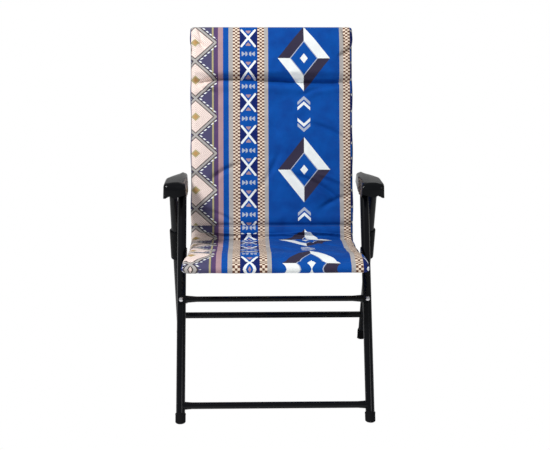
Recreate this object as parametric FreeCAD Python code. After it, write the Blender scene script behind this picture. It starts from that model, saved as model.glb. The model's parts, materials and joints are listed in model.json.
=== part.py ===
"""Folding camp rocking armchair with a padded sling and sprung, telescoping rear legs.

Frame: +X to the sitter's left, +Y from the front feet to the back, +Z up. The origin is
on the floor at the centre of the chair's outline. Side-view places are (y, z) pairs that
are measured from the front feet and moved by Y_MID when they are placed.
"""
import FreeCAD
import Part
import math
import os

Vector = FreeCAD.Vector

# ---- Driving dimensions, in millimetres ----
Y_MID = 340.14                   # distance from the front feet's datum to the origin

FRONT_LEG_X = 266.0              # centre plane of each front leg
FRONT_LEG_R = 12.7
LEG_PIVOT = (350.0, 568.0)       # front legs, rear legs and armrests share this pivot
FRONT_LEG_FOOT = (10.1, 12.0)    # lower end of the front leg's centre line
LEG_OVER_PIVOT = 11.0            # how far the leg tubes run on past the pivot

REAR_LEG_X = 292.5               # the rear legs fold outside the front legs
REAR_TUBE_R = 12.0
REAR_ROD_R = 10.4
REAR_FOOT = (566.0, 14.0)        # lower end of the sliding rod
SLIDE_GAP = 0.06                 # radial running clearance of rods and pins
COLLAR_R = 15.5
COLLAR_OUTWARD = 1.5             # the collar's centre stands outside the tube's
COLLAR_Z = (329.0, 429.0)        # lower and upper end heights of the collar
ROD_TOP_Z = 448.0
WALL = 1.5

FOOT_CAP_WALL = 1.8
FOOT_CAP_RIB_RISE = 0.5
FOOT_CAP_LENGTH = (9.0, 22.0)    # grip on a front leg and on a rear rod
FOOT_CAP_RIBS = (1, 3)           # on a front cap and on a rear cap
FOOT_CAP_RIB_PITCH = 5.0

UPPER_BAR_HEIGHT = 292.0         # where the upper bar meets the front legs
UPPER_BAR_R = 8.0
UPPER_BAR_TAB = (23.0, 22.0, 5.0)   # length, height and thickness of its flattened end
UPPER_BAR_FLARE = (30.0, 10.6)      # length and end radius of the swell next to a tab
RIVET_R = 3.0
RIVET_HEAD = (6.5, 3.5, 2.5)        # radii at the tab and at the top, and height
FOOT_BAR_HEIGHT = 37.0
FOOT_BAR_R = 9.5
FOOT_BAR_FLARE = (20.0, 11.6)    # length and end radius of the swell at a leg
REAR_BAR_HEIGHT = 98.0
REAR_BAR_R = 9.8

WASHER_X = (278.7, 280.4)        # spacer washer, in the gap between front and rear leg
WASHER_R = 10.0
PIN_R = 4.0
PIN_HEAD = (7.0, 0.4, 2.9)       # radius, and its two faces' gaps from the rear leg

SEAT_PIVOT = (180.0, 412.0)
SEAT_HINGE = (460.0, 360.8)      # where seat and back meet
SEAT_FRONT_Y = 60.0
SEAT_RAIL_X = 219.0
RAIL_R = 9.0
SEAT_BAR_R = 9.4
SEAT_BRACKET_X = (251.0, 253.6)
SEAT_BRACKET_RIVETS = (414.0, 388.0)   # their heights on the front leg
SEAT_BRACKET_R = 11.0            # round ends of the bracket
SEAT_BRACKET_SPACER_R = 8.0
SEAT_FRONT_HALF = 254.0
SEAT_PAD_HALF = 209.4
PAD_RISE = 13.5                  # from a rail's centre line to the pad's face
PAD_DROP = 10.0
PAD_HINGE_GAP = 140.0            # the pads start this far from the back hinge

BACK_TOP = (686.0, 980.0)
BACK_RAIL_X = 239.5
BACK_RAIL_R = 8.5
BACK_PAD_HALF = 230.4
HEADREST_LENGTH = 165.0
HEADREST_RISE = 16.0
HINGE_PLATE_X = (225.0, 228.6, 231.8)    # faces of the two hinge plates, from inside out
HINGE_PLATE_R = 11.0
HINGE_PLATE_REACH = (46.0, 44.0) # along the seat rail and along the back rail
HINGE_SPACER = (32.0, 6.0)       # distance up the back rail, and radius
RAIL_HINGE_GAP = 14.0            # rails stop this far from the hinge's axis
SEAT_CROSS_BAR = (46.0, 7.5)     # distance from the hinge, and radius
BACK_LOWER_BAR = 100.0           # from the hinge up to the back's lower bar

ARM_X = (250.8, 318.0)
ARM_Y = (265.0, 540.0)
ARM_TOP_Z = (612.0, 566.0)       # front and rear
ARM_EDGE_Z = (568.0, 540.0)      # lower edge of the skirt, front and rear
ARM_NOSE_Z = 581.0               # lower edge of the front wall
ARM_SKIN = 4.0
ARM_INNER_SKIN = 2.2
ARM_WAIST_Y = 385.0              # behind here the arm narrows to its tip
ARM_TIP_INSET = (7.0, 36.0)      # on the inner and on the outer side
ARM_LUG = (11.0, 588.0)          # radius and upper end height of the pivot lug


# ---- Small helpers ----
def at(x, place):
    """A point from an X position and a side-view (y, z) place."""
    return Vector(x, place[0] - Y_MID, place[1])


def along(start, end, distance):
    """The place at a distance from start towards end."""
    length = math.dist(start, end)
    return tuple(a + (b - a) * distance / length for a, b in zip(start, end))


def at_height(start, end, height):
    """The place where the line from start to end crosses a height."""
    share = (height - start[1]) / (end[1] - start[1])
    return (start[0] + (end[0] - start[0]) * share, height)


def offset(start, end, place, distance):
    """A place moved square to the line from start to end, to its upper or front side."""
    length = math.dist(start, end)
    unit = ((end[0] - start[0]) / length, (end[1] - start[1]) / length)
    return (place[0] - unit[1] * distance, place[1] + unit[0] * distance)


def rod(start, end, radius):
    """A round bar between two points."""
    axis = end - start
    return Part.makeCylinder(radius, axis.Length, start, axis)


def pipe(start, end, radius, wall=WALL):
    """A straight tube between two points."""
    return rod(start, end, radius).cut(rod(start, end, radius - wall))


def cross_rod(x0, x1, place, radius):
    """A round bar along X at a side-view place."""
    return rod(at(x0, place), at(x1, place), radius)


def block(x0, x1, places):
    """A flat-sided solid: a side-view outline from x0 to x1."""
    points = [at(x0, place) for place in places]
    face = Part.Face(Part.makePolygon(points + points[:1]))
    return face.extrude(Vector(x1 - x0, 0, 0))


def link(x0, x1, first, last, radius):
    """A flat plate with round ends about two places."""
    lower = offset(first, last, first, -radius)
    upper = offset(first, last, first, radius)
    far_upper = offset(first, last, last, radius)
    far_lower = offset(first, last, last, -radius)
    plate = block(x0, x1, [lower, far_lower, far_upper, upper])
    for place in (first, last):
        plate = plate.fuse(cross_rod(x0, x1, place, radius))
    return plate.removeSplitter()


def save(node, shape):
    """Write one sub-part."""
    shape.exportStep("parts/" + node + ".step")


def side_name(node, side):
    """The node's name with its side of the chair."""
    return node + ("_left" if side < 0 else "_right")


# ---- Front leg frame ----
def front_leg(side):
    """One front leg, drilled for the pins and rivets that go through it."""
    x = side * FRONT_LEG_X
    top = along(LEG_PIVOT, FRONT_LEG_FOOT, -LEG_OVER_PIVOT)
    leg = pipe(at(x, FRONT_LEG_FOOT), at(x, top), FRONT_LEG_R)
    leg = leg.cut(cross_rod(side * 240, side * 300, LEG_PIVOT, PIN_R))
    leg = leg.cut(upper_bar_rivet(side))
    return leg.cut(seat_bracket_rivets(side))


def foot_cap(x, foot, upper, radius, length, ribs):
    """A ribbed rubber cap, closed and flat where it stands on the floor."""
    grip = at(x, along(foot, upper, length))
    below = at(x, along(foot, upper, -3 * radius))
    outer = radius + FOOT_CAP_WALL
    cap = rod(below, grip, outer)
    for index in range(ribs):
        centre = length - 3.5 - FOOT_CAP_RIB_PITCH * index
        low = at(x, along(foot, upper, centre - 1.3))
        high = at(x, along(foot, upper, centre + 1.3))
        cap = cap.fuse(rod(low, high, outer + FOOT_CAP_RIB_RISE))
    cap = cap.cut(rod(at(x, foot), grip, radius))
    under_floor = Part.makeBox(120, 200, 100, at(x - 60, (foot[0] - 100, -100)))
    return cap.cut(under_floor)


def upper_bar_centre():
    """The centre of the bar that lies against the front face of both front legs."""
    leg = at_height(FRONT_LEG_FOOT, LEG_PIVOT, UPPER_BAR_HEIGHT)
    return offset(FRONT_LEG_FOOT, LEG_PIVOT, leg, FRONT_LEG_R + UPPER_BAR_R)


def upper_bar_rivet(side):
    """The rivet through one flattened end and the leg behind it, with its domed head."""
    x = side * FRONT_LEG_X
    leg = at_height(FRONT_LEG_FOOT, LEG_PIVOT, UPPER_BAR_HEIGHT)
    tab = UPPER_BAR_TAB[2]
    front = offset(FRONT_LEG_FOOT, LEG_PIVOT, leg, FRONT_LEG_R + tab)
    head = offset(FRONT_LEG_FOOT, LEG_PIVOT, leg, FRONT_LEG_R + tab + RIVET_HEAD[2])
    shank = rod(at(x, leg), at(x, front), RIVET_R)
    axis = at(x, head) - at(x, front)
    base, tip = RIVET_HEAD[:2]
    return shank.fuse(Part.makeCone(base, tip, axis.Length, at(x, front), axis))


def down_the_leg(place):
    """A place further down, on a line parallel to the front leg."""
    run = (FRONT_LEG_FOOT[0] - LEG_PIVOT[0], FRONT_LEG_FOOT[1] - LEG_PIVOT[1])
    return (place[0] + run[0], place[1] + run[1])


def flare(x, place, length, radii):
    """A cone along X that starts at x; a negative length runs the other way."""
    direction = Vector(math.copysign(1.0, length), 0, 0)
    return Part.makeCone(radii[0], radii[1], abs(length), at(x, place), direction)


def front_upper_bar():
    """The cross bar that swells towards its ends, which are pressed flat on the legs."""
    centre = upper_bar_centre()
    length, height, thick = UPPER_BAR_TAB
    swell, end_radius = UPPER_BAR_FLARE
    leg = at_height(FRONT_LEG_FOOT, LEG_PIVOT, UPPER_BAR_HEIGHT)
    tab_start = FRONT_LEG_X + 9.0 - length
    reach = tab_start - swell
    bar = cross_rod(-reach, reach, centre, UPPER_BAR_R)
    bar = bar.cut(cross_rod(-reach, reach, centre, UPPER_BAR_R - WALL))
    face = offset(FRONT_LEG_FOOT, LEG_PIVOT, leg, FRONT_LEG_R)
    low = along(face, down_the_leg(face), height / 2)
    high = along(face, down_the_leg(face), -height / 2)
    outline = [
        low,
        high,
        offset(FRONT_LEG_FOOT, LEG_PIVOT, high, thick),
        offset(FRONT_LEG_FOOT, LEG_PIVOT, low, thick),
    ]
    for side in (-1, 1):
        tab = block(side * (tab_start - 4.0), side * (tab_start + length), outline)
        end = flare(side * reach, centre, side * swell, (UPPER_BAR_R, end_radius))
        bar = bar.fuse(end).fuse(tab)
        bar = bar.cut(upper_bar_rivet(side))
        bar = bar.cut(rod(at(side * FRONT_LEG_X, FRONT_LEG_FOOT),
                          at(side * FRONT_LEG_X, LEG_PIVOT), FRONT_LEG_R))
    return bar.removeSplitter()


def foot_bar():
    """The low bar between the front legs, butted against both."""
    place = at_height(FRONT_LEG_FOOT, LEG_PIVOT, FOOT_BAR_HEIGHT)
    bar = pipe(at(-FRONT_LEG_X, place), at(FRONT_LEG_X, place), FOOT_BAR_R)
    swell, end_radius = FOOT_BAR_FLARE
    start = FRONT_LEG_X - FRONT_LEG_R - swell
    for side in (-1, 1):
        x = side * FRONT_LEG_X
        end = flare(side * start, place, side * (swell + 6.0), (FOOT_BAR_R, end_radius))
        bore = cross_rod(0.0, x, place, FOOT_BAR_R - WALL)
        bar = bar.fuse(end.cut(bore))
        bar = bar.cut(rod(at(x, FRONT_LEG_FOOT), at(x, LEG_PIVOT), FRONT_LEG_R))
    return max(bar.removeSplitter().Solids, key=lambda solid: solid.Volume)


def leg_washer(side):
    """The spacer washer that keeps a front leg and a rear leg apart at their pivot."""
    x0, x1 = (side * value for value in WASHER_X)
    washer = cross_rod(x0, x1, LEG_PIVOT, WASHER_R)
    return washer.cut(cross_rod(x0, x1, LEG_PIVOT, PIN_R))


def leg_pin(side):
    """The pin through the armrest, the front leg, the washer and the rear leg."""
    radius, near, far = PIN_HEAD
    outside = side * (REAR_LEG_X + REAR_TUBE_R + near)
    head = side * (REAR_LEG_X + REAR_TUBE_R + far)
    pin = cross_rod(side * ARM_X[0], head, LEG_PIVOT, PIN_R)
    return pin.fuse(cross_rod(outside, head, LEG_PIVOT, radius))


def leg_plug(x, foot, radius, bore):
    """The plastic plug in a leg tube's open top."""
    top = along(LEG_PIVOT, foot, -LEG_OVER_PIVOT)
    inside = along(LEG_PIVOT, foot, 6.0 - LEG_OVER_PIVOT)
    above = along(LEG_PIVOT, foot, -LEG_OVER_PIVOT - 2.0)
    plug = rod(at(x, inside), at(x, top), bore)
    return plug.fuse(rod(at(x, top), at(x, above), radius))


def seat_bracket_places():
    """Where a seat bracket's two rivets meet the front leg's centre line."""
    return tuple(at_height(FRONT_LEG_FOOT, LEG_PIVOT, height)
                 for height in SEAT_BRACKET_RIVETS)


def seat_bracket_rivets(side):
    """The two rivets that hold a seat bracket to the front leg."""
    rivets = [
        cross_rod(side * (SEAT_BRACKET_X[0] + 0.6), side * (FRONT_LEG_X - 6.0), place, RIVET_R)
        for place in seat_bracket_places()
    ]
    return Part.makeCompound(rivets)


def seat_bracket(side):
    """The steel plate that carries the seat's pivot in front of the front leg."""
    x0, x1 = (side * value for value in SEAT_BRACKET_X)
    upper, lower = seat_bracket_places()
    plate = link(x0, x1, SEAT_PIVOT, upper, SEAT_BRACKET_R)
    plate = plate.fuse(link(x0, x1, SEAT_PIVOT, lower, SEAT_BRACKET_R))
    spacer = side * (FRONT_LEG_X - FRONT_LEG_R + 2.0)
    for place in (upper, lower):
        plate = plate.fuse(cross_rod(x0, spacer, place, SEAT_BRACKET_SPACER_R))
    plate = plate.cut(rod(at(side * FRONT_LEG_X, FRONT_LEG_FOOT),
                          at(side * FRONT_LEG_X, LEG_PIVOT), FRONT_LEG_R))
    plate = plate.cut(seat_bracket_rivets(side))
    plate = plate.cut(cross_rod(x0, x1, SEAT_PIVOT, PIN_R + SLIDE_GAP))
    return max(plate.removeSplitter().Solids, key=lambda solid: solid.Volume)


def build_front_legs():
    """The fixed leg frame that everything else is hinged to."""
    for side in (-1, 1):
        x = side * FRONT_LEG_X
        save(side_name("front_leg", side), front_leg(side))
        cap = foot_cap(x, FRONT_LEG_FOOT, LEG_PIVOT, FRONT_LEG_R, FOOT_CAP_LENGTH[0],
                       FOOT_CAP_RIBS[0])
        save(side_name("front_foot_cap", side), cap)
        save(side_name("leg_washer", side), leg_washer(side))
        plug = leg_plug(x, FRONT_LEG_FOOT, FRONT_LEG_R, FRONT_LEG_R - WALL)
        save(side_name("front_leg_plug", side), plug)
        save(side_name("seat_bracket", side), seat_bracket(side))
    save("front_upper_bar", front_upper_bar())
    save("front_foot_bar", foot_bar())
    save("bar_rivets", Part.makeCompound([upper_bar_rivet(side) for side in (-1, 1)]))
    save("leg_pins", Part.makeCompound([leg_pin(side) for side in (-1, 1)]))
    rivets = [solid for side in (-1, 1) for solid in seat_bracket_rivets(side).Solids]
    save("bracket_rivets", Part.makeCompound(rivets))


# ---- Rear legs ----
def rear_tube(side):
    """The upper tube of a rear leg, bored to let the rod slide."""
    x = side * REAR_LEG_X
    low = at_height(REAR_FOOT, LEG_PIVOT, COLLAR_Z[0])
    top = along(LEG_PIVOT, REAR_FOOT, -LEG_OVER_PIVOT)
    tube = rod(at(x, low), at(x, top), REAR_TUBE_R)
    tube = tube.cut(rod(at(x, low), at(x, top), REAR_ROD_R + SLIDE_GAP))
    return tube.cut(cross_rod(x - 20, x + 20, LEG_PIVOT, PIN_R + SLIDE_GAP))


def rear_collar(side):
    """The moulded collar round the upper tube's lower end."""
    x = side * REAR_LEG_X
    low = at_height(REAR_FOOT, LEG_PIVOT, COLLAR_Z[0])
    high = at_height(REAR_FOOT, LEG_PIVOT, COLLAR_Z[1])
    centre = x + math.copysign(COLLAR_OUTWARD, side)
    sleeve = rod(at(centre, low), at(centre, high), COLLAR_R)
    rim = [edge for edge in sleeve.Edges if edge.Curve.TypeId == "Part::GeomCircle"]
    sleeve = sleeve.makeFillet(1.5, rim)
    return sleeve.cut(rod(at(x, low), at(x, high), REAR_TUBE_R))


def rear_rod(side):
    """The sliding lower part of a rear leg."""
    x = side * REAR_LEG_X
    top = at_height(REAR_FOOT, LEG_PIVOT, ROD_TOP_Z)
    return pipe(at(x, REAR_FOOT), at(x, top), REAR_ROD_R)


def rear_bar():
    """The low bar between the two sliding rods."""
    place = at_height(REAR_FOOT, LEG_PIVOT, REAR_BAR_HEIGHT)
    bar = pipe(at(-REAR_LEG_X, place), at(REAR_LEG_X, place), REAR_BAR_R)
    for side in (-1, 1):
        x = side * REAR_LEG_X
        bar = bar.cut(rod(at(x, REAR_FOOT), at(x, LEG_PIVOT), REAR_ROD_R))
    return max(bar.Solids, key=lambda solid: solid.Volume)


def build_rear_legs():
    """Upper tubes with collars, then the rods, bar and feet that slide in them."""
    for side in (-1, 1):
        x = side * REAR_LEG_X
        save(side_name("rear_leg_tube", side), rear_tube(side))
        save(side_name("rear_collar", side), rear_collar(side))
        save(side_name("rear_leg_rod", side), rear_rod(side))
        plug = leg_plug(x, REAR_FOOT, REAR_TUBE_R, REAR_ROD_R + SLIDE_GAP)
        save(side_name("rear_leg_plug", side), plug)
        cap = foot_cap(x, REAR_FOOT, LEG_PIVOT, REAR_ROD_R, FOOT_CAP_LENGTH[1],
                       FOOT_CAP_RIBS[1])
        save(side_name("rear_foot_cap", side), cap)
    save("rear_bar", rear_bar())


# ---- Seat ----
def seat_front_place():
    """The front end of the seat rails' centre line."""
    slope = (SEAT_HINGE[1] - SEAT_PIVOT[1]) / (SEAT_HINGE[0] - SEAT_PIVOT[0])
    return (SEAT_FRONT_Y, SEAT_PIVOT[1] + slope * (SEAT_FRONT_Y - SEAT_PIVOT[0]))


def seat_rail(side):
    """A seat side rail from the front bar to just short of the back hinge."""
    x = side * SEAT_RAIL_X
    front = seat_front_place()
    rear = along(SEAT_HINGE, front, RAIL_HINGE_GAP)
    rail = pipe(at(x, front), at(x, rear), RAIL_R)
    rail = rail.cut(cross_rod(-300, 300, front, SEAT_BAR_R))
    return rail.cut(seat_pin(side))


def seat_pin(side):
    """The seat's pivot pin, from inside the rail out through the bracket."""
    return cross_rod(side * (SEAT_RAIL_X - 4.0), side * SEAT_BRACKET_X[1],
                     SEAT_PIVOT, PIN_R)


def seat_front_bar():
    """The front cross bar of the seat with rounded ends."""
    place = seat_front_place()
    bar = cross_rod(-SEAT_FRONT_HALF, SEAT_FRONT_HALF, place, SEAT_BAR_R)
    bar = bar.makeFillet(4.0, [edge for edge in bar.Edges
                               if edge.Curve.TypeId == "Part::GeomCircle"])
    inner = SEAT_FRONT_HALF - 6.0
    return bar.cut(cross_rod(-inner, inner, place, SEAT_BAR_R - WALL))


def pad_outline(start, end, first, last, rise, drop):
    """The side outline of a pad that lies along a centre line."""
    near = along(start, end, first)
    far = along(start, end, last)
    return [
        offset(start, end, near, -drop),
        offset(start, end, far, -drop),
        offset(start, end, far, rise),
        offset(start, end, near, rise),
    ]


def rounded_block(x0, x1, outline, radius):
    """A block with its long X edges rounded."""
    solid = block(x0, x1, outline)
    edges = [
        edge for edge in solid.Edges
        if abs(edge.Vertexes[0].X - edge.Vertexes[1].X) > 1.0
    ]
    return solid.makeFillet(radius, edges)


def seat_pad():
    """The seat's padding, between its rails."""
    front = seat_front_place()
    length = math.dist(front, SEAT_HINGE)
    outline = pad_outline(front, SEAT_HINGE, SEAT_BAR_R + 0.5, length - PAD_HINGE_GAP,
                          PAD_RISE, PAD_DROP)
    return rounded_block(-SEAT_PAD_HALF, SEAT_PAD_HALF, outline, 6.0)


def hinge_plate(side, x0, x1, far, reach):
    """One plate of the back hinge, from the hinge pin along a rail."""
    plate = link(side * x0, side * x1, SEAT_HINGE, along(SEAT_HINGE, far, reach),
                 HINGE_PLATE_R - 3.0)
    return plate.fuse(cross_rod(side * x0, side * x1, SEAT_HINGE, HINGE_PLATE_R))


def seat_cross_bar():
    """The rear cross bar under the sling, between the seat rails."""
    front = seat_front_place()
    place = along(SEAT_HINGE, front, SEAT_CROSS_BAR[0])
    half = SEAT_RAIL_X
    bar = pipe(at(-half, place), at(half, place), SEAT_CROSS_BAR[1])
    for side in (-1, 1):
        x = side * SEAT_RAIL_X
        bar = bar.cut(rod(at(x, front), at(x, SEAT_HINGE), RAIL_R))
    return max(bar.Solids, key=lambda solid: solid.Volume)


def build_seat():
    """Seat rails, bars, pad, pivot pins and the inner plates of the back hinge."""
    front = seat_front_place()
    for side in (-1, 1):
        save(side_name("seat_rail", side), seat_rail(side))
        plate = hinge_plate(side, HINGE_PLATE_X[0], HINGE_PLATE_X[1] - 0.2, front,
                            HINGE_PLATE_REACH[0])
        plate = plate.cut(cross_rod(side * 200, side * 240, SEAT_HINGE, PIN_R + SLIDE_GAP))
        clear = at(side * SEAT_RAIL_X, along(SEAT_HINGE, front, RAIL_HINGE_GAP))
        rail = rod(at(side * SEAT_RAIL_X, front), clear, RAIL_R)
        save(side_name("seat_hinge_plate", side), plate.cut(rail))
    save("seat_front_bar", seat_front_bar())
    save("seat_cross_bar", seat_cross_bar())
    save("seat_pad", seat_pad())
    save("seat_pins", Part.makeCompound([seat_pin(side) for side in (-1, 1)]))


# ---- Back ----
def back_rail(side):
    """A back side rail from just above the hinge to the top bar."""
    x = side * BACK_RAIL_X
    low = along(SEAT_HINGE, BACK_TOP, RAIL_HINGE_GAP)
    rail = pipe(at(x, low), at(x, BACK_TOP), BACK_RAIL_R)
    dome = Part.makeSphere(BACK_RAIL_R, at(x, BACK_TOP))
    dome = dome.cut(rod(at(x, low), at(x, BACK_TOP), BACK_RAIL_R))
    return rail.fuse(dome).removeSplitter()


def back_bar(distance):
    """A cross bar of the back frame, a distance below its top."""
    place = along(BACK_TOP, SEAT_HINGE, distance)
    bar = pipe(at(-BACK_RAIL_X, place), at(BACK_RAIL_X, place), BACK_RAIL_R - 1.0)
    for side in (-1, 1):
        x = side * BACK_RAIL_X
        bar = bar.cut(rod(at(x, SEAT_HINGE), at(x, along(BACK_TOP, SEAT_HINGE, -30.0)),
                          BACK_RAIL_R))
    return max(bar.Solids, key=lambda solid: solid.Volume)


def back_pad():
    """The back's padding, between its rails and below the top bar."""
    length = math.dist(SEAT_HINGE, BACK_TOP)
    outline = pad_outline(SEAT_HINGE, BACK_TOP, PAD_HINGE_GAP, length - BACK_RAIL_R - 1.0,
                          PAD_RISE - 0.5, PAD_DROP)
    return rounded_block(-BACK_PAD_HALF, BACK_PAD_HALF, outline, 6.0)


def headrest_pad():
    """The thicker roll across the top of the back."""
    length = math.dist(SEAT_HINGE, BACK_TOP)
    base = PAD_RISE - 0.5
    outline = pad_outline(SEAT_HINGE, BACK_TOP, length - HEADREST_LENGTH, length - 2.0,
                          base + HEADREST_RISE, -base - 0.1)
    return rounded_block(-BACK_PAD_HALF, BACK_PAD_HALF, outline, 7.0)


def hinge_pin(side):
    """The back hinge's pin, carried by the back."""
    return cross_rod(side * (HINGE_PLATE_X[0] - 2.0), side * HINGE_PLATE_X[2],
                     SEAT_HINGE, PIN_R)


def build_back():
    """Back rails, bars, pads and the outer plates and pins of the hinge."""
    for side in (-1, 1):
        save(side_name("back_rail", side), back_rail(side))
        x = side * BACK_RAIL_X
        plate = hinge_plate(side, HINGE_PLATE_X[1] + 0.2, HINGE_PLATE_X[2], BACK_TOP,
                            HINGE_PLATE_REACH[1])
        spacer = along(SEAT_HINGE, BACK_TOP, HINGE_SPACER[0])
        plate = plate.fuse(cross_rod(side * HINGE_PLATE_X[2], x, spacer, HINGE_SPACER[1]))
        plate = plate.cut(rod(at(x, SEAT_HINGE), at(x, BACK_TOP), BACK_RAIL_R))
        plate = plate.cut(hinge_pin(side))
        plate = max(plate.Solids, key=lambda solid: solid.Volume)
        save(side_name("back_hinge_plate", side), plate)
    save("back_top_bar", back_bar(0.0))
    save("back_lower_bar", back_bar(math.dist(SEAT_HINGE, BACK_TOP) - BACK_LOWER_BAR))
    save("back_pad", back_pad())
    save("headrest_pad", headrest_pad())
    save("hinge_pins", Part.makeCompound([hinge_pin(side) for side in (-1, 1)]))


# ---- Armrests ----
def arm_plan(side, inner, outer, front, rear):
    """The armrest's outline from above, as a tall prism: wide in front, narrow behind."""
    outline = [
        (inner, front),
        (outer, front),
        (outer, ARM_WAIST_Y),
        (outer - ARM_TIP_INSET[1], rear),
        (inner + ARM_TIP_INSET[0], rear),
        (inner, ARM_WAIST_Y),
    ]
    points = [Vector(side * x, y - Y_MID, 400.0) for x, y in outline]
    prism = Part.Face(Part.makePolygon(points + points[:1])).extrude(Vector(0, 0, 300))
    return prism


def arm_side(top_drop, edge_drop, front, rear):
    """The armrest's outline from the side, as a wide prism with a rounded nose."""
    top_front, top_rear = (z - top_drop for z in ARM_TOP_Z)
    edge_front, edge_rear = (z - edge_drop for z in ARM_EDGE_Z)
    outline = [
        (front, edge_front),
        (rear, edge_rear),
        (rear, top_rear),
        (420.0, (top_front + top_rear) / 2 + 3.0),
        (300.0, top_front + 1.0),
        (front + 10.0, top_front - 4.0),
        (front, top_front - 16.0),
    ]
    return block(-400, 400, outline)


def armrest(side):
    """One moulded arm: a top skin and a skirt, open underneath, with a pivot lug."""
    inner, outer = ARM_X
    front, rear = ARM_Y
    skin = ARM_SKIN
    outside = arm_plan(side, inner, outer, front, rear)
    outside = outside.common(arm_side(0.0, 0.0, front, rear))
    inside = arm_plan(side, inner + ARM_INNER_SKIN, outer - skin, front + skin, rear - skin)
    inside = inside.common(arm_side(skin + 1.0, 60.0, front + skin, rear - skin))
    under_nose = block(-400, 400, [(front - 20, 500), (front + 12, 500),
                                   (front + 12, ARM_NOSE_Z), (front - 20, ARM_NOSE_Z)])
    lug = link(side * inner, side * (inner + ARM_INNER_SKIN), LEG_PIVOT,
               (LEG_PIVOT[0] + 4.0, ARM_LUG[1]), ARM_LUG[0])
    shell = outside.cut(inside).cut(under_nose).fuse(lug)
    hole = cross_rod(side * (inner - 5.0), side * (inner + 10.0), LEG_PIVOT,
                     PIN_R + SLIDE_GAP)
    return shell.cut(hole).removeSplitter()


def build_armrests():
    """Both armrests."""
    for side in (-1, 1):
        save(side_name("armrest", side), armrest(side))


os.makedirs("parts", exist_ok=True)
build_front_legs()
build_rear_legs()
build_seat()
build_back()
build_armrests()
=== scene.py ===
"""Looks of the folding camp rocking chair: padded printed sling, moulded arms, finishes."""

import json
import math

import bmesh
import bpy
import numpy as np
from mathutils import Matrix, Vector, noise


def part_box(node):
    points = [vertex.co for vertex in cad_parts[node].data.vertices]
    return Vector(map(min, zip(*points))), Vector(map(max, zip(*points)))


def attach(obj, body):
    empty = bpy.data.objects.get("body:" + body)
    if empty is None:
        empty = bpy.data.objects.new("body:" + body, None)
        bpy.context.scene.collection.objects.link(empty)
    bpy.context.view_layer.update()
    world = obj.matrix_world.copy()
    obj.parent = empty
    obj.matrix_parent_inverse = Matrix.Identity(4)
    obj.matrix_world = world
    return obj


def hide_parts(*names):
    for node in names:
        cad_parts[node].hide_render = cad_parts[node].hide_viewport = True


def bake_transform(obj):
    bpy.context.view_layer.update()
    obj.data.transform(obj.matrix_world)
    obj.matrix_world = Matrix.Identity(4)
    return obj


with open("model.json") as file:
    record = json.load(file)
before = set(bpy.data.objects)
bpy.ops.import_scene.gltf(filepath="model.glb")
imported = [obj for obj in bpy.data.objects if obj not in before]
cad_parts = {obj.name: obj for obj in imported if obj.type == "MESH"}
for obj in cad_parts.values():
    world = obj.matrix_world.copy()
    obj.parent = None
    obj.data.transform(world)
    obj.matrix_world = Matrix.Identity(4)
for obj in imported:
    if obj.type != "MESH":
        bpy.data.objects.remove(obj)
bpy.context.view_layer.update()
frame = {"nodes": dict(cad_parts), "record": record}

MM = 0.001

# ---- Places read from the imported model, in metres ----
JOINTS = {joint["name"]: joint for joint in frame["record"]["behaviour"]["joints"]}
HINGE = np.array(JOINTS["back_fold"]["pos_m"])[1:]
ARM_PIVOT = np.array(JOINTS["arm_left_lift"]["pos_m"])[1:]


def centre(node):
    """The middle of a node's box."""
    low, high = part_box(node)
    return (np.array(low) + np.array(high)) / 2


SEAT_FRONT = centre("seat_front_bar")[1:]
BACK_TOP = centre("back_top_bar")[1:]
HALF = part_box("back_rail_right")[1][0] + 0.6 * MM        # half-width of the back's cover
ARM_LOW, ARM_HIGH = (np.array(corner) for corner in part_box("armrest_right"))
FRONT_EDGE_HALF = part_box("seat_front_bar")[1][0] + 4.0 * MM

# ---- Camera, floor and light ----
CAMERA_AT = (-0.0855, -3.35114, 1.587)
CAMERA_DOWN = math.radians(18.5)
CAMERA_RIGHT = math.radians(1.545)
CAMERA_ROLL = math.radians(0.27)
SENSOR_MM = 36.0
LENS_MM = 78.5454545
AMBIENT = 0.34                   # the world's strength as light
LAMP_TARGET = (0.0, 0.0, 0.55)
# Each lamp: name, place, size in metres and power in watts.
LAMPS = (
    ("key", (-1.7, -1.3, 3.3), 0.7, 108.0),
    ("fill", (2.2, -3.2, 1.9), 1.2, 17.0),
    ("rim", (0.6, 2.4, 2.6), 1.6, 14.0),
)


def add_camera():
    """A view from the front, a little above, with a long lens."""
    data = bpy.data.cameras.new("camera")
    data.sensor_width = SENSOR_MM
    data.lens = LENS_MM
    camera = bpy.data.objects.new("camera", data)
    bpy.context.scene.collection.objects.link(camera)
    camera.location = CAMERA_AT
    aim = Matrix.Rotation(-CAMERA_RIGHT, 3, "Z")
    aim = aim @ Matrix.Rotation(math.pi / 2 - CAMERA_DOWN, 3, "X")
    camera.rotation_euler = (aim @ Matrix.Rotation(CAMERA_ROLL, 3, "Z")).to_euler()
    bpy.context.scene.camera = camera


def add_area_light(name, place, target, size, power):
    """A soft square lamp that points at a target."""
    data = bpy.data.lights.new(name, "AREA")
    data.size = size
    data.energy = power
    lamp = bpy.data.objects.new(name, data)
    bpy.context.scene.collection.objects.link(lamp)
    lamp.location = place
    aim = Vector(target) - Vector(place)
    lamp.rotation_euler = aim.to_track_quat("-Z", "Y").to_euler()


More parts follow.
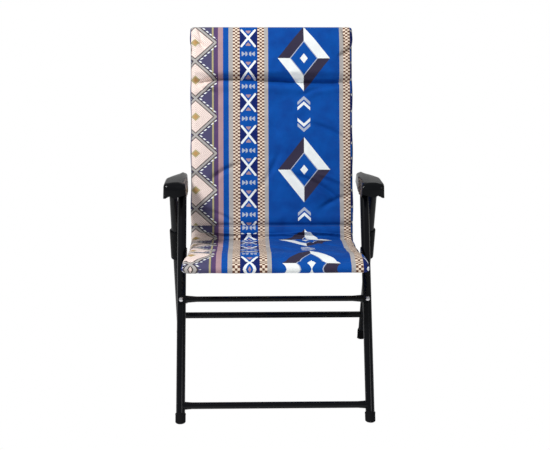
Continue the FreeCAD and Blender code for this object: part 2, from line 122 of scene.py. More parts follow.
def add_stage():
    """A bounce floor, a world that is white to the camera but dimmer as light, and lamps."""
    bpy.ops.mesh.primitive_plane_add(size=40.0, location=(0.0, 4.0, 0.0))
    floor = bpy.context.object
    floor.name = "floor"
    floor.data.materials.append(plain_material("floor_paint", (0.93, 0.93, 0.93), 0.9))
    floor.visible_camera = False
    world = bpy.data.worlds.new("studio")
    world.use_nodes = True
    tree = world.node_tree
    background = tree.nodes["Background"]
    background.inputs["Color"].default_value = (1.0, 1.0, 1.0, 1.0)
    seen = Field(tree, tree.nodes.new("ShaderNodeLightPath").outputs["Is Camera Ray"])
    strength = seen * (1.0 - AMBIENT) + AMBIENT
    tree.links.new(strength.socket, background.inputs["Strength"])
    bpy.context.scene.world = world
    for name, place, size, power in LAMPS:
        add_area_light(name, place, LAMP_TARGET, size, power)
    bpy.context.scene.view_settings.view_transform = "Standard"


# ---- Shader building ----
class Field:
    """A number that varies over a surface, built from math nodes."""

    def __init__(self, tree, socket):
        self.tree = tree
        self.socket = socket

    def math(self, operation, *others):
        """One math node with this field as its first input."""
        node = self.tree.nodes.new("ShaderNodeMath")
        node.operation = operation
        self.tree.links.new(self.socket, node.inputs[0])
        for index, other in enumerate(others, start=1):
            if isinstance(other, Field):
                self.tree.links.new(other.socket, node.inputs[index])
            else:
                node.inputs[index].default_value = other
        return Field(self.tree, node.outputs[0])

    def __add__(self, other):
        return self.math("ADD", other)

    def __sub__(self, other):
        return self.math("SUBTRACT", other)

    def __mul__(self, other):
        return self.math("MULTIPLY", other)

    def __truediv__(self, other):
        return self.math("DIVIDE", other)

    def __neg__(self):
        return self.math("MULTIPLY", -1.0)

    def __abs__(self):
        return self.math("ABSOLUTE")

    def both(self, other):
        """Where both masks hold."""
        return self.math("MULTIPLY", other)

    def either(self, other):
        """Where either mask holds."""
        return self.math("MAXIMUM", other)

    def below(self, limit):
        """A mask of where the field is less than a limit."""
        return self.math("LESS_THAN", limit)

    def above(self, limit):
        """A mask of where the field is more than a limit."""
        return self.math("GREATER_THAN", limit)

    def repeat(self, period, start=0.0):
        """Distance from the middle of the nearest repeat, from -period/2 to period/2."""
        shifted = self - (start - period / 2)
        return shifted.math("FLOORED_MODULO", period) - period / 2

    def floor(self):
        """The whole number below."""
        return self.math("FLOOR")

    def between(self, low, high):
        """A mask of where the field lies between two limits."""
        return (self - (low + high) / 2).math("ABSOLUTE").below((high - low) / 2)


class Paint:
    """A colour that is painted over layer by layer."""

    def __init__(self, tree, colour):
        self.tree = tree
        node = tree.nodes.new("ShaderNodeRGB")
        node.outputs[0].default_value = (*colour, 1.0)
        self.socket = node.outputs[0]

    def over(self, colour, mask):
        """Paint a colour, or another paint, where the mask holds."""
        node = self.tree.nodes.new("ShaderNodeMix")
        node.data_type = "RGBA"
        self.tree.links.new(self.socket, node.inputs["A"])
        if isinstance(colour, Paint):
            self.tree.links.new(colour.socket, node.inputs[7])
        else:
            node.inputs[7].default_value = (*colour, 1.0)
        self.tree.links.new(mask.socket, node.inputs[0])
        self.socket = node.outputs[2]
        return self


def new_material(name):
    """An empty node material with its shader."""
    material = bpy.data.materials.new(name)
    material.use_nodes = True
    shader = material.node_tree.nodes["Principled BSDF"]
    return material, material.node_tree, shader


def plain_material(name, colour, roughness):
    """A flat finish, for the stage only."""
    material, _, shader = new_material(name)
    shader.inputs["Base Color"].default_value = (*colour, 1.0)
    shader.inputs["Roughness"].default_value = roughness
    return material


def noise_field(tree, scale, detail=3.0):
    """Procedural noise in object space."""
    node = tree.nodes.new("ShaderNodeTexNoise")
    node.inputs["Scale"].default_value = scale
    node.inputs["Detail"].default_value = detail
    coords = tree.nodes.new("ShaderNodeTexCoord").outputs["Object"]
    tree.links.new(coords, node.inputs["Vector"])
    return Field(tree, node.outputs[0])


def add_bump(tree, shader, height, strength, distance):
    """Bump from a height field."""
    node = tree.nodes.new("ShaderNodeBump")
    node.inputs["Strength"].default_value = strength
    node.inputs["Distance"].default_value = distance
    tree.links.new(height.socket, node.inputs["Height"])
    tree.links.new(node.outputs["Normal"], shader.inputs["Normal"])


def textured_black(name, colour, worn, rough, grain, depth, metallic=0.0, coat=0.0):
    """A dark finish: base colour, lighter worn patches, rough range, grain and bump."""
    material, tree, shader = new_material(name)
    patches = noise_field(tree, 14.0, 5.0)
    wear = (patches - 0.52) * 3.0
    paint = Paint(tree, colour)
    paint.over(worn, wear.math("MAXIMUM", 0.0).math("MINIMUM", 1.0))
    tree.links.new(paint.socket, shader.inputs["Base Color"])
    fine = noise_field(tree, grain, 4.0)
    roughness = patches * (rough[1] - rough[0]) + rough[0] + (fine - 0.5) * 0.06
    tree.links.new(roughness.socket, shader.inputs["Roughness"])
    shader.inputs["Metallic"].default_value = metallic
    shader.inputs["Coat Weight"].default_value = coat
    shader.inputs["Coat Roughness"].default_value = 0.08
    shader.inputs["Specular IOR Level"].default_value = 0.07
    add_bump(tree, shader, fine, 0.12, depth)
    return material


def steel_material():
    """Bright plated steel with fine turned marks."""
    material, tree, shader = new_material("rivet_steel_plated")
    fine = noise_field(tree, 900.0)
    paint = Paint(tree, (0.72, 0.72, 0.74))
    paint.over((0.5, 0.5, 0.52), fine.above(0.6))
    tree.links.new(paint.socket, shader.inputs["Base Color"])
    shader.inputs["Metallic"].default_value = 1.0
    tree.links.new((fine * 0.2 + 0.18).socket, shader.inputs["Roughness"])
    add_bump(tree, shader, fine, 0.2, 0.0001)
    return material


# ---- The sling's print. Lengths are in millimetres: u across, v down the cloth ----
ROYAL = (0.0012, 0.074, 0.37)
NAVY = (0.005, 0.016, 0.13)
WHITE = (0.86, 0.90, 0.90)
CREAM = (0.93, 0.79, 0.72)
CREAM_LINE = (0.50, 0.36, 0.36)
GREY = (0.42, 0.40, 0.39)
COOL_GREY = (0.42, 0.47, 0.58)
MAUVE = (0.42, 0.27, 0.30)
PURPLE = (0.10, 0.055, 0.15)
DUSK = (0.075, 0.07, 0.15)
OLIVE = (0.42, 0.37, 0.20)
TAN = (0.50, 0.30, 0.12)
BROWN = (0.13, 0.055, 0.035)
PLUM = (0.036, 0.030, 0.060)
DARK_EDGE = (0.07, 0.055, 0.05)

DIAMOND_U, DIAMOND_HALF, DIAMOND_PITCH, DIAMOND_V = -233.0, 63.0, 112.5, 335.0
CROSS_U, CROSS_PITCH, CROSS_V = -71.5, 97.9, 334.0
CHECK_COLUMN, CHECK_ROW = 6.9, 5.2
MEDALLION_U, MEDALLION_PITCH, MEDALLION_V = 98.0, 339.5, 102.5
ARROW_OFFSETS = (130.0, 208.0)
SEAM_V, SEAM_JUMP = 611.0, 58.0    # the seat panel's print starts this much further on
RIM_U = 246.0                      # the plain rim starts here, and further out on the seat
RIM_WIDENS_V, RIM_WIDENS = 560.0, 9.0      # where, and how much further
THREAD = (0.05, 0.055, 0.10)


def diamond_panel(tree, u, v):
    """Cream diamonds with smaller ones inside, outlined by a grey zigzag band."""
    across = abs(u - DIAMOND_U)
    step = v.repeat(DIAMOND_PITCH, DIAMOND_V + DIAMOND_PITCH / 2)
    reach = across + abs(step) * (DIAMOND_HALF * 2 / DIAMOND_PITCH)
    paint = Paint(tree, CREAM)
    paint.over(CREAM_LINE, abs(reach.repeat(6.5)).below(0.8))
    paint.over(OLIVE, reach.below(15.0))
    paint.over(TAN, reach.below(9.0))
    outside = reach.above(DIAMOND_HALF - 9.0)
    beyond = reach.above(DIAMOND_HALF + 8.0)
    triangle = Paint(tree, DUSK)
    triangle.over(OLIVE, (u - (DIAMOND_U + 53.0)).between(-2.6, 2.6))
    triangle.over(PURPLE, u.above(DIAMOND_U + 58.0))
    dots = (v.repeat(9.4).math("ABSOLUTE").below(2.6)).both(
        reach.between(DIAMOND_HALF + 10.0, DIAMOND_HALF + 15.5))
    triangle.over(WHITE, dots)
    band = Paint(tree, GREY)
    rim = reach.below(DIAMOND_HALF - 5.2).either(reach.above(DIAMOND_HALF + 4.2))
    band.over(DARK_EDGE, rim)
    paint.over(band, outside)
    return paint.over(triangle, beyond)


def cross_band(tree, u, v, middle):
    """Navy band with white crosses, small triangles and bow ties."""
    paint = Paint(tree, ROYAL)
    across = u - middle
    side = abs(across)
    step = v.repeat(CROSS_PITCH, CROSS_V)
    rise = abs(step)
    paint.over(NAVY, (side * 1.18 - rise).above(-4.0).both(rise.below(30.0)))
    stroke = abs(side * 1.24 - rise).below(5.2).both(rise.below(28.5)).both(side.below(23.5))
    paint.over(WHITE, stroke)
    small = (rise - 20.0).between(-5.5, 4.5).both((side + (rise * -0.9 + 12.0)).below(0.0))
    paint.over(MAUVE, small.both(side.below(7.5)))
    half = v.repeat(CROSS_PITCH, CROSS_V + CROSS_PITCH / 2)
    wing = side.repeat(11.0, 14.5)
    bow = abs(half).below(7.0).both((abs(half) - abs(wing + 5.5) * 0.75).below(0.0))
    return paint.over(COOL_GREY, bow.both(side.below(21.0)).both(side.above(2.5)))


def checks(tree, u, v, edge):
    """Brown and cream checks."""
    column = ((u - edge) / CHECK_COLUMN).floor()
    row = (v / CHECK_ROW).floor()
    odd = (column + row).math("FLOORED_MODULO", 2.0).above(0.5)
    return Paint(tree, (0.86, 0.72, 0.58)).over(BROWN, odd)


def medallion(paint, p, q):
    """A plain diamond in quarters of white and plum round a blue one, about (p, q) = 0."""
    turn = (p * q).above(0.0)
    p_abs = abs(p)
    q_abs = abs(q)
    whole = p_abs / 80.0 + q_abs / 100.0
    core = p_abs / 40.0 + q_abs / 50.0
    paint.over(PLUM, whole.below(1.0))
    paint.over(WHITE, whole.below(1.0).both(turn))
    paint.over(COOL_GREY, core.below(1.08))
    paint.over(ROYAL, core.below(1.0))
    return paint.over(WHITE, core.below(0.3))


def arrow(paint, p, q):
    """Two plain chevrons that point along +q, about (p, q) = 0."""
    rise = q + abs(p) * 0.9
    wide = abs(p).below(19.5)
    paint.over(COOL_GREY, rise.between(6.0, 16.0).both(wide))
    return paint.over(WHITE, rise.between(-10.0, 0.0).both(wide))


def blue_field(tree, u, v):
    """The wide royal blue stripe with its diamonds and chevrons."""
    # Darker patches over the blue: painted shading that stands in for the uneven light and
    # highlight smears on the cloth.
    painted_light_patches = (noise_field(tree, 22.0, 4.0) - 0.4) * 2.5
    paint = Paint(tree, ROYAL)
    paint.over((0.002, 0.046, 0.27), painted_light_patches.math("MAXIMUM", 0.0).math("MINIMUM", 1.0))
    p = u - MEDALLION_U
    q = v.repeat(MEDALLION_PITCH, MEDALLION_V)
    for offset, way in zip(ARROW_OFFSETS, (-1.0, 1.0)):
        near = v.repeat(MEDALLION_PITCH, MEDALLION_V + offset)
        paint = arrow(paint, p, near * way)
    return medallion(paint, p, -q)


def printed_cloth():
    """The printed polyester: bands across the cloth, weave, sheen and soft bump."""
    material, tree, shader = new_material("printed_sling_cloth")
    uv = tree.nodes.new("ShaderNodeUVMap")
    uv.uv_map = "cloth"
    split = tree.nodes.new("ShaderNodeSeparateXYZ")
    tree.links.new(uv.outputs[0], split.inputs[0])
    u = Field(tree, split.outputs[0]) * 1000.0
    v = Field(tree, split.outputs[1]) * 1000.0
    stitch = abs(v - SEAM_V - 3.0).below(0.7).both(u.repeat(5.0).math("ABSOLUTE").below(1.7))
    bleed = noise_field(tree, 420.0, 1.0) - 0.5
    u = u + bleed * 0.9
    rim = (abs(u) - v.above(RIM_WIDENS_V) * RIM_WIDENS).above(RIM_U)
    v = v + v.above(SEAM_V) * SEAM_JUMP + bleed * 0.9

    paint = diamond_panel(tree, u, v)
    paint.over(PURPLE, u.above(-168.0))
    paint.over(MAUVE, u.above(-163.7))
    paint.over(ROYAL, u.above(-148.5))
    paint.over(GREY, u.above(-131.7))
    paint.over(checks(tree, u, v, -118.4), u.above(-118.4))
    paint.over(cross_band(tree, u, v, CROSS_U), u.above(-97.6))
    paint.over(checks(tree, u, v, -43.7), u.above(-43.7))
    paint.over(GREY, u.above(-23.0))
    paint.over(blue_field(tree, u, v), u.above(-11.0))
    paint.over(GREY, u.above(207.0))
    paint.over(checks(tree, u, v, 219.0), u.above(219.0))
    paint.over(cross_band(tree, u, v, 266.5), u.above(240.0))
    paint.over(NAVY, rim)
    paint.over(THREAD, stitch)

    thread_u = (u * 4.6).math("SINE")
    thread_v = (v * 4.6).math("SINE")
    weave = thread_u * thread_v
    shade = weave * 0.05 + 0.97
    tint = tree.nodes.new("ShaderNodeVectorMath")
    tint.operation = "SCALE"
    tree.links.new(paint.socket, tint.inputs[0])
    tree.links.new(shade.socket, tint.inputs["Scale"])
    tree.links.new(tint.outputs[0], shader.inputs["Base Color"])
    tree.links.new((weave * 0.05 + 0.74).socket, shader.inputs["Roughness"])
    shader.inputs["Sheen Weight"].default_value = 0.02
    shader.inputs["Sheen Roughness"].default_value = 0.4
    shader.inputs["Specular IOR Level"].default_value = 0.1
    cockle = noise_field(tree, 95.0, 3.0)
    add_bump(tree, shader, weave * 0.12 + cockle, 0.5, 0.0012)
    return material


# ---- The sling's shape ----
TOP_OVERHANG = 12.0 * MM
FRONT_OVERHANG = 13.0 * MM
BEND_RADIUS = 48.0 * MM
CLOTH_STEP = 4.0 * MM
DROP = 13.0 * MM
EDGE_ROUND = 15.0 * MM
FRONT_ROLL = 80.0 * MM
SIDE_WAVE = 1.2 * MM             # how far the side edges wander
SIDE_WAVE_RATE = 37.0            # per metre of cloth
CREASE_PINCH = (70 * MM, 3.5 * MM)       # place and depth of the waist at the headrest
TOP_SWELL = (36 * MM, 1.0 * MM)
PINCH_REACH = 14 * MM
TOP_CORNER, HEM_CORNER = 9.0 * MM, 16.0 * MM


def middle_line():
    """Stations (y, z, unit tangent, length so far) down the back, round the bend, out the seat."""
    down = (HINGE - BACK_TOP) / np.linalg.norm(HINGE - BACK_TOP)
    out = (SEAT_FRONT - HINGE) / np.linalg.norm(SEAT_FRONT - HINGE)
    turn = math.acos(float(down @ out))
    setback = BEND_RADIUS * math.tan(turn / 2)
    start = BACK_TOP - down * TOP_OVERHANG
    back_length = np.linalg.norm(HINGE - start) - setback
    arc_length = BEND_RADIUS * turn
    end = SEAT_FRONT + out * FRONT_OVERHANG
    seat_length = np.linalg.norm(end - HINGE) - setback
    total = back_length + arc_length + seat_length
    count = int(total / CLOTH_STEP)
    stations = []
    inward = (out - down) / np.linalg.norm(out - down)
    pivot = HINGE + inward * (BEND_RADIUS / math.cos(turn / 2))
    radial = HINGE - down * setback - pivot
    for index in range(count + 1):
        share = index / count
        ease = 0.5 - 0.5 * math.cos(math.pi * share)
        length = total * (0.94 * share + 0.06 * ease)
        if length < back_length:
            place = start + down * length
            tangent = down
        elif length < back_length + arc_length:
            angle = (length - back_length) / BEND_RADIUS
            swing = radial * math.cos(angle) + down * BEND_RADIUS * math.sin(angle)
            place = pivot + swing
            unit = radial / BEND_RADIUS
            tangent = -unit * math.sin(angle) + down * math.cos(angle)
        else:
            place = end - out * (total - length)
            tangent = out
        stations.append((place, tangent, length))
    return stations, total


def bump_at(value, middle, width):
    """A smooth bump of height 1 about a middle."""
    return np.exp(-((value - middle) / width) ** 2)


def round_over(distance, reach):
    """From 0 at an edge to 1 at a reach from it, along a quarter of an ellipse."""
    share = np.clip(1 - distance / reach, 0, 1)
    return np.sqrt(np.clip(1 - share ** 2, 0, 1))


def smooth(value, low, high):
    """0 below low, 1 above high, smooth between."""
    share = np.clip((value - low) / (high - low), 0.0, 1.0)
    return share * share * (3 - 2 * share)


FOLD_GAIN = 2.1                  # scales every fold's height
FOLD_NARROW = 0.75               # and its width

# Each fold: start (u, v), end (u, v), half-width and height, in millimetres.
FOLDS = [
    ((-175, 205), (-245, 172), 9, -4.0),
    ((-250, 150), (-165, 208), 7, 2.5),
    ((-185, 470), (-100, 425), 9, -5.0),
    ((-245, 440), (-190, 478), 8, 3.0),
    ((120, 300), (245, 365), 10, -3.5),
    ((60, 455), (200, 530), 11, -4.5),
    ((140, 455), (240, 500), 8, 3.0),
    ((20, 395), (-60, 520), 10, -2.5),
    ((150, 560), (245, 520), 9, -3.5),
    ((-240, 560), (-120, 600), 9, -3.5),
    ((-90, 255), (20, 330), 12, -2.0),
    ((90, 215), (210, 180), 9, -2.5),
    ((-240, 648), (-60, 668), 8, 6.0),
    ((-120, 676), (90, 664), 8, 5.0),
    ((30, 650), (240, 668), 8, 6.5),
    ((-235, 690), (-40, 700), 9, -5.0),
    ((60, 694), (235, 686), 9, -5.0),
    ((-200, 760), (-110, 880), 11, -3.0),
    ((110, 745), (215, 850), 11, -3.5),
    ((-60, 800), (60, 900), 14, -2.5),
    ((-240, 905), (-150, 960), 9, -3.0),
    ((150, 960), (240, 905), 9, -3.0),
    ((-250, 30), (-205, 70), 7, -5.0),
    ((-225, 8), (-215, 60), 5, -3.0),
    ((248, 60), (205, 95), 7, -5.0),
    ((215, 5), (225, 60), 5, -3.5),
]


def folds_height(u, v):
    """Height of all the folds at a point, in millimetres."""
    height = np.zeros_like(u)
    for (u0, v0), (u1, v1), width, depth in FOLDS:
        run = np.array([u1 - u0, v1 - v0], float)
        length = np.linalg.norm(run)
        run /= length
        along = (u - u0) * run[0] + (v - v0) * run[1]
        bend = 0.06 * length * np.sin(np.clip(along / length, 0, 1) * math.pi)
        across = (v - v0) * run[0] - (u - u0) * run[1] + bend
        reach = smooth(along, -0.15 * length, 0.25 * length)
        reach = reach * (1 - smooth(along, 0.75 * length, 1.15 * length))
        height += FOLD_GAIN * depth * reach * np.exp(-(across / (width * FOLD_NARROW)) ** 2)
    return height


def noise_grid(us, vs, scale, seed):
    """Smooth noise over the cloth, scaled in millimetres."""
    values = np.empty((len(vs), len(us)))
    for j, v in enumerate(vs):
        for i, u in enumerate(us):
            values[j, i] = noise.noise(Vector((u / scale, v / scale, seed)))
    return values


def half_width(length, total):
    """Half the sling's width at a length down it: it widens over the seat's front bar."""
    width = HALF + SIDE_WAVE * math.sin(length * SIDE_WAVE_RATE)
    front = smooth(length, total - 112 * MM, total - 55 * MM)
    width = width + (FRONT_EDGE_HALF - HALF) * front
    width = width - CREASE_PINCH[1] * bump_at(length, CREASE_PINCH[0], PINCH_REACH)
    width = width + TOP_SWELL[1] * bump_at(length, TOP_SWELL[0], PINCH_REACH)
    width = width - corner_cut(TOP_CORNER, length)
    return width - 0.5 * corner_cut(HEM_CORNER, total - length)


def corner_cut(radius, distance):
    """How much a round corner takes off the width at a distance from the end."""
    short = max(radius - distance, 0.0)
    return radius - math.sqrt(max(radius ** 2 - short ** 2, 0.0))


def cloth_height(u, v, total, textures):
    """The padding's height over the cloth's middle line; all lengths in millimetres."""
    crown, coarse, fine = textures
    height = 20.5 + 4.0 * crown + 3.0 * coarse + 1.2 * fine
    head = smooth(v, 2.0, 55.0) * (1 - smooth(v, 140.0, 168.0))
    height += 17.0 * head * (0.75 + 0.25 * crown)
    crease = 169.0 + 6.0 * np.sin(u / 90.0) + 12.0 * smooth(-u, 160.0, 250.0)
    hem = total - 26.0
    # Bands across the cloth: middle, width and height.
    for middle, width, rise in (
        (total - 95.0, 60.0, 7.0),
        (crease, 6.0, -17.0),
        (crease + 22.0, 14.0, 5.0),
        (SEAM_V, 4.5, -7.5),
        (SEAM_V - 22.0, 16.0, 3.5),
        (SEAM_V + 20.0, 14.0, 3.0),
        (hem, 3.0, -2.6),
    ):
        height += rise * bump_at(v, middle, width)
    height += 2.5 * smooth(v, hem - 90.0, hem - 20.0) * (1 - smooth(v, hem - 12.0, hem))
    gather = np.sin(v / 7.5 + 2.0 * coarse) * smooth(np.abs(u), 205.0, 248.0)
    height += 0.9 * gather + folds_height(u, v)
    least = 8.6 + 2.0 * smooth(np.abs(u), 195.0, 212.0)
    return np.maximum(height, least)


def sling_mesh():
    """The sling as one closed mesh with a cloth map in metres."""
    stations, total = middle_line()
    lengths = np.array([station[2] for station in stations])
    shares = np.sin(np.linspace(-1, 1, 141) * math.pi / 2)
    shares = 0.35 * shares + 0.65 * np.linspace(-1, 1, 141)
    widths = np.array([half_width(length, total) for length in lengths])
    u = shares[None, :] * widths[:, None]
    v = np.repeat(lengths[:, None], len(shares), axis=1)
    u_mm, v_mm = u / MM, v / MM

    reach = EDGE_ROUND + np.maximum(widths - HALF, 0.0)[:, None] * 0.7
    edge = np.clip((np.abs(u) - (widths[:, None] - reach)) / reach, 0, 1)
    side_round = np.sqrt(np.clip(1 - edge ** 2, 0, 1))
    end_distance = np.minimum(v, total - v)
    outline = side_round * round_over(end_distance, 13.0 * MM)
    front_roll = side_round * round_over(v, 13.0 * MM) * round_over(total - v, FRONT_ROLL)

    crown = 1 - (u / widths[:, None]) ** 2
    coarse = noise_grid(shares * 250, lengths / MM, 70.0, 3.1)
    fine = noise_grid(shares * 250, lengths / MM, 24.0, 7.7)
    height = cloth_height(u_mm, v_mm, total / MM, (crown, coarse, fine)) * MM * front_roll
    depth = (DROP + 1.2 * MM * coarse) * outline

    centres = np.array([station[0] for station in stations])
    tangents = np.array([station[1] for station in stations])
    normals = np.stack([tangents[:, 1], -tangents[:, 0]], axis=1)
    rows, columns = u.shape

    def surface(offset):
        y = centres[:, 0][:, None] + normals[:, 0][:, None] * offset
        z = centres[:, 1][:, None] + normals[:, 1][:, None] * offset
        return np.stack([u, y, z], axis=2).reshape(-1, 3)

    front = surface(height)
    behind = surface(-depth)
    return close_sheets(front, behind, rows, columns, u, v)


def close_sheets(front, behind, rows, columns, u, v):
    """Join a front and a rear grid at their borders into one closed mesh with UVs."""
    index = np.arange(rows * columns).reshape(rows, columns)
    border = np.zeros((rows, columns), bool)
    border[0, :] = border[-1, :] = True
    border[:, 0] = border[:, -1] = True
    rear_index = index.copy()
    inner = ~border
    rear_index[inner] = rows * columns + np.arange(inner.sum())
    points = np.concatenate([front, behind[inner.reshape(-1)]])
    faces = []
    for j in range(rows - 1):
        for i in range(columns - 1):
            quad = (index[j, i], index[j, i + 1], index[j + 1, i + 1], index[j + 1, i])
            faces.append(tuple(int(k) for k in quad))
            quad = (rear_index[j, i], rear_index[j + 1, i],
                    rear_index[j + 1, i + 1], rear_index[j, i + 1])
            faces.append(tuple(int(k) for k in quad))
    mesh = bpy.data.meshes.new("sling_cover")
    mesh.from_pydata(points.tolist(), [], faces)
    flat_u = np.concatenate([u.reshape(-1), u.reshape(-1)[inner.reshape(-1)]])
    flat_v = np.concatenate([v.reshape(-1), v.reshape(-1)[inner.reshape(-1)]])
    layer = mesh.uv_layers.new(name="cloth")
    loops = np.empty(len(mesh.loops), np.int32)
    mesh.loops.foreach_get("vertex_index", loops)
    layer.data.foreach_set("uv", np.stack([flat_u[loops], flat_v[loops]], 1).reshape(-1))
    mesh.polygons.foreach_set("use_smooth", [True] * len(mesh.polygons))
    mesh.update()
    return mesh


def add_sling():
    """The padded sling, bent between the seat and the back."""
    cover = bpy.data.objects.new("sling_cover", sling_mesh())
    bpy.context.scene.collection.objects.link(cover)
    cover.data.materials.append(printed_cloth())
    faces_outward(cover.data)
    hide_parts("seat_pad", "back_pad", "headrest_pad")
    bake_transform(cover)


def faces_outward(mesh):
    """Turn the faces so that their normals point out, and weld repeated points."""
    work = bmesh.new()
    work.from_mesh(mesh)
    bmesh.ops.remove_doubles(work, verts=work.verts, dist=1e-6)
    bmesh.ops.recalc_face_normals(work, faces=work.faces)
    work.to_mesh(mesh)
    work.free()


# ---- The moulded arms ----
ARM_CORNER = 13.0 * MM           # plan corners
ARM_EDGE_ROUND = 9.0 * MM        # between the top and the skirt
ARM_WALL = 3.2 * MM
ARM_WAIST = 0.44                 # share of the length where the plan starts to narrow
ARM_FALL = 44.0 * MM             # the top's fall from front to rear
ARM_SAG = 4.0 * MM
NOSE_FALL, NOSE_REACH = 13.0 * MM, 26.0 * MM
SKIRT_DEPTH, SKIRT_FALL = 44.0 * MM, 28.0 * MM
ARM_LEAN = 1.6 * MM
ARM_CROWN = 2.6 * MM
LUG_R, LUG_HALF, LUG_RISE = 12.0 * MM, 15.0 * MM, 26.0 * MM
LUG_THICKNESS = 2.2 * MM


def arm_outline():
    """The plan outline, anticlockwise from the inner rear corner, as (x, y) points."""
    inner, outer = ARM_LOW[0], ARM_HIGH[0]
    front, rear = ARM_LOW[1], ARM_HIGH[1]
    waist = front + (rear - front) * ARM_WAIST
    corners = [
        (inner + 7.0 * MM, rear, 10.0 * MM),
        (inner, waist, 40.0 * MM),
        (inner, front, 8.0 * MM),
        (outer, front + 3.0 * MM, ARM_CORNER),
        (outer, waist, 60.0 * MM),
        (outer - 36.0 * MM, rear, 10.0 * MM),
    ]
    points = []
    count = len(corners)
    for index, (x, y, radius) in enumerate(corners):
        corner = np.array([x, y])
        before = np.array(corners[index - 1][:2]) - corner
        after = np.array(corners[(index + 1) % count][:2]) - corner
        before = before / np.linalg.norm(before)
        after = after / np.linalg.norm(after)
        half = math.acos(float(np.clip(before @ after, -1, 1))) / 2
        reach = min(radius / math.tan(half), 34.0 * MM)
        start, end = corner + before * reach, corner + after * reach
        for step in range(9):
            t = step / 8
            points.append((1 - t) ** 2 * start + 2 * t * (1 - t) * corner + t * t * end)
    dense = []
    for index, point in enumerate(points):
        following = points[(index + 1) % len(points)]
        pieces = max(1, int(np.linalg.norm(following - point) / (7.0 * MM)))
        dense += [point + (following - point) * step / pieces for step in range(pieces)]
    return np.array(dense)


def arm_top(y):
    """Height of the arm's top surface at a depth."""
    front, rear = ARM_LOW[1], ARM_HIGH[1]
    share = np.clip((y - front) / (rear - front), 0.0, 1.0)
    fall = ARM_FALL * share - ARM_SAG * np.sin(math.pi * share)
    nose = NOSE_FALL * np.clip(1 - (y - front) / NOSE_REACH, 0.0, 1.0) ** 2
    return ARM_HIGH[2] - fall - nose


def arm_edge(x, y):
    """Height of the skirt's lower edge: the outer wing hangs lowest at the front."""
    front, rear = ARM_LOW[1], ARM_HIGH[1]
    share = np.clip((y - front) / (rear - front), 0.0, 1.0)
    inward = np.clip((x - ARM_LOW[0]) / (ARM_HIGH[0] - ARM_LOW[0]), 0.0, 1.0)
    edge = ARM_HIGH[2] - SKIRT_DEPTH - SKIRT_FALL * share
    notch = 9.0 * MM * np.exp(-((inward - 0.72) / 0.12) ** 2)
    near_front = np.clip(1 - share / 0.06, 0.0, 1.0)
    lift = (13.0 * MM * np.clip(1 - inward / 0.6, 0.0, 1.0) + notch) * near_front
    return edge + lift


def arm_mesh(side):
    """One arm as a thin shell: skirt rings, a rounded edge and a crowned top."""
    outline = arm_outline()
    middle_x = (ARM_LOW[0] + ARM_HIGH[0]) / 2 - 6.0 * MM
    front, rear = ARM_LOW[1] + 30.0 * MM, ARM_HIGH[1] - 14.0 * MM
    centre_y = np.clip(outline[:, 1], front, rear)
    taper = np.clip((centre_y - front) / (rear - front), 0, 1)
    spine = np.stack([middle_x - 5.0 * MM * taper, centre_y], axis=1)
    run = np.linalg.norm(outline - spine, axis=1)
    rings = []
    for level in np.linspace(0.0, 1.0, 7):
        top = arm_top(outline[:, 1]) - ARM_EDGE_ROUND
        low = arm_edge(outline[:, 0], outline[:, 1])
        height = low + (np.maximum(top, low + 2.0 * MM) - low) * level
        lean = ARM_LEAN * (1 - level)
        inward = (spine - outline) / run[:, None]
        place = outline + inward * (ARM_LEAN - lean)
        rings.append(np.column_stack([place, height]))
    for angle in np.linspace(0.0, math.pi / 2, 7)[1:]:
        inset = ARM_EDGE_ROUND * (1 - math.cos(angle)) + ARM_LEAN
        drop = ARM_EDGE_ROUND * (1 - math.sin(angle))
        share = np.minimum(inset / run, 1.0)[:, None]
        place = outline + (spine - outline) * share
        rings.append(np.column_stack([place, arm_top(place[:, 1]) - drop]))
    start = np.minimum((ARM_EDGE_ROUND + ARM_LEAN) / run, 1.0)
    for level in np.linspace(0.0, 1.0, 7)[1:]:
        share = (start + (1 - start) * level)[:, None]
        place = outline + (spine - outline) * share
        crown = ARM_CROWN * math.sin(level * math.pi / 2)
        rings.append(np.column_stack([place, arm_top(place[:, 1]) + crown]))
    points = np.concatenate(rings)
    points[:, 0] *= side
    count = len(outline)
    faces = []
    for ring in range(len(rings) - 1):
        for step in range(count):
            nxt = (step + 1) % count
            low, high = ring * count, (ring + 1) * count
            faces.append((low + step, low + nxt, high + nxt, high + step))
    mesh = bpy.data.meshes.new("arm_shell")
    mesh.from_pydata(points.tolist(), [], faces)
    faces_outward(mesh)
    return mesh


def lug_mesh(side):
    """The flat lug under the arm that the leg pin goes through."""
    inner = ARM_LOW[0]
    profile = []
    for step in range(25):
        angle = math.pi + math.pi * step / 24
        profile.append((ARM_PIVOT[0] + LUG_R * math.cos(angle),
                        ARM_PIVOT[1] + LUG_R * math.sin(angle)))
    profile += [(ARM_PIVOT[0] + LUG_HALF, ARM_PIVOT[1] + LUG_RISE),
                (ARM_PIVOT[0] - LUG_HALF, ARM_PIVOT[1] + LUG_RISE)]
    count = len(profile)
    points = [(side * x, y, z) for x in (inner, inner + LUG_THICKNESS) for y, z in profile]
    faces = [tuple(range(count)), tuple(range(2 * count - 1, count - 1, -1))]
    for step in range(count):
        nxt = (step + 1) % count
        faces.append((step, nxt, count + nxt, count + step))
    mesh = bpy.data.meshes.new("arm_lug")
    mesh.from_pydata(points, [], faces)
    return mesh


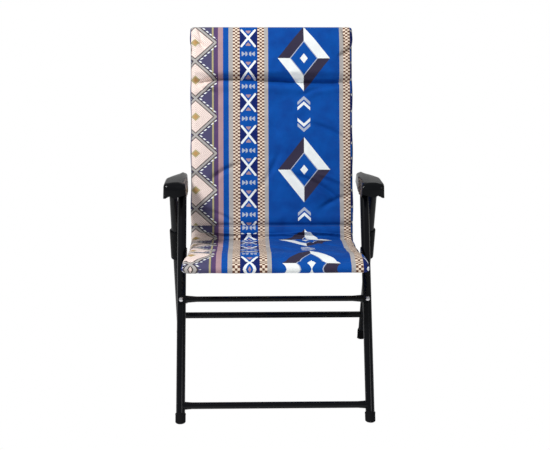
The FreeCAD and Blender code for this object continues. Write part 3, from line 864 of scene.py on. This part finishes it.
def add_arms(finish):
    """Both moulded arms, each riding on its own body."""
    for side, name in ((-1, "left"), (1, "right")):
        shell = bpy.data.objects.new("arm_shell_" + name, arm_mesh(side))
        bpy.context.scene.collection.objects.link(shell)
        thick = shell.modifiers.new("wall", "SOLIDIFY")
        thick.thickness = ARM_WALL
        thick.offset = -1.0
        graph = bpy.context.evaluated_depsgraph_get()
        solid = bpy.data.meshes.new_from_object(shell.evaluated_get(graph))
        shell.modifiers.clear()
        work = bmesh.new()
        work.from_mesh(solid)
        work.from_mesh(lug_mesh(side))
        bmesh.ops.recalc_face_normals(work, faces=work.faces)
        work.to_mesh(shell.data)
        work.free()
        shell.data.polygons.foreach_set("use_smooth", [True] * len(shell.data.polygons))
        shell.data.set_sharp_from_angle(angle=math.radians(38.0))
        shell.data.materials.clear()
        shell.data.materials.append(finish)
        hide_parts("armrest_" + name)
        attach(shell, "arm_" + name)


# ---- Finishes of the CAD nodes ----
def finish_nodes():
    """Give each carried-over node of a listed slot its material."""
    tube = textured_black("powder_coat", (0.0022, 0.0026, 0.004), (0.004, 0.0045, 0.006),
                          (0.20, 0.28), 160.0, 0.00002, coat=0.25)
    plastic = textured_black("black_plastic_moulded", (0.003, 0.0032, 0.004),
                             (0.006, 0.0062, 0.007), (0.34, 0.48), 900.0, 0.0001)
    arm = textured_black("arm_moulded_gloss", (0.003, 0.0034, 0.0045), (0.006, 0.0065, 0.008),
                         (0.18, 0.26), 300.0, 0.00003, coat=0.18)
    rubber = textured_black("foot_rubber_ribbed", (0.006, 0.006, 0.007),
                            (0.012, 0.012, 0.012), (0.62, 0.82), 600.0, 0.0002)
    by_slot = {
        "black_tube": tube,
        "black_plastic": plastic,
        "arm_moulding": arm,
        "foot_rubber": rubber,
        "rivet_steel": steel_material(),
    }
    slots = {part["node"]: part["material_slot"] for part in frame["record"]["subparts"]}
    for node, name in slots.items():
        if name not in by_slot:
            continue
        piece = frame["nodes"][node]
        for slot in piece.material_slots:
            slot.material = by_slot[name]
    return by_slot


add_camera()
add_stage()
finishes = finish_nodes()
add_sling()
add_arms(finishes["arm_moulding"])
